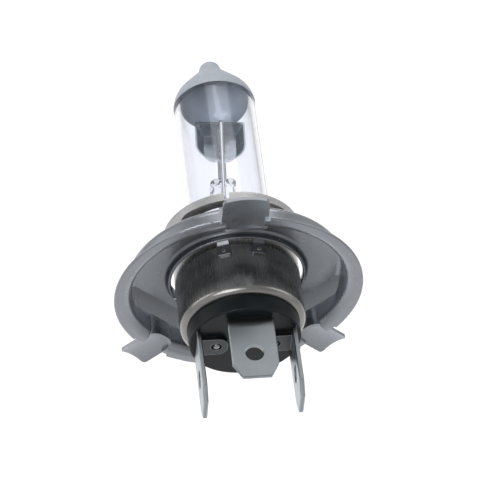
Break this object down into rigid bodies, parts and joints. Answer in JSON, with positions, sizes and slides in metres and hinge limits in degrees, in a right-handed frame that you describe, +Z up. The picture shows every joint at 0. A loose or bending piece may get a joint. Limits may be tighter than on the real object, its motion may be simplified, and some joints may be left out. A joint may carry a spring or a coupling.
{
  "type": "headlight bulb",
  "caption": "Twin-filament halogen headlight bulb: painted-tip glass tube in a sheet-metal cap with a lugged centring flange and spade contacts.",
  "frame": {"origin": "on the bulb's axis, in the reference plane that the crowns of the three flange lugs touch", "axes": "+Y along the bulb's axis towards the glass tip; +Z up towards the top lug and the top blade; +X to the right for someone who looks at the contacts"},
  "size_m": [0.043, 0.0744, 0.0469],
  "materials": {
    "clear_glass": "clear quartz glass with a faint lavender tint",
    "tip_paint": "satin blue-grey anti-glare paint",
    "molybdenum": "bright drawn molybdenum",
    "tungsten": "dark grey tungsten wire",
    "lead_wire": "nickel-plated wire",
    "matte_steel": "matte granular steel",
    "weld_metal": "spot-weld mark",
    "spring_steel": "plain spring steel",
    "shell_steel": "brushed steel, drawn and rolled",
    "flange_steel": "satin pressed steel with a bluish cast",
    "black_moulding": "black-green thermoset moulding",
    "tinned_blade": "satin tinned brass sheet",
    "solder": "bright solder"
  },
  "bodies": {
    "root": {"glass_envelope": "clear_glass", "tip_coating": "tip_paint", "glass_bridge": "clear_glass", "beam_shield": "molybdenum", "low_beam_filament": "tungsten", "high_beam_filament": "tungsten", "low_beam_inner_lead": "molybdenum", "high_beam_inner_lead": "molybdenum", "common_inner_lead": "molybdenum", "seal_foils": "molybdenum", "low_beam_outer_lead": "lead_wire", "high_beam_outer_lead": "lead_wire", "common_outer_lead": "lead_wire", "glass_collar": "matte_steel", "collar_welds": "weld_metal", "pinch_clamp": "spring_steel", "base_shell": "shell_steel", "flange_ring": "flange_steel", "flange_welds": "weld_metal", "insulator": "black_moulding", "low_beam_blade": "tinned_blade", "high_beam_blade": "tinned_blade", "common_blade": "tinned_blade", "low_beam_solder_joint": "solder", "high_beam_solder_joint": "solder", "common_solder_joint": "solder"}
  },
  "joints": []
}
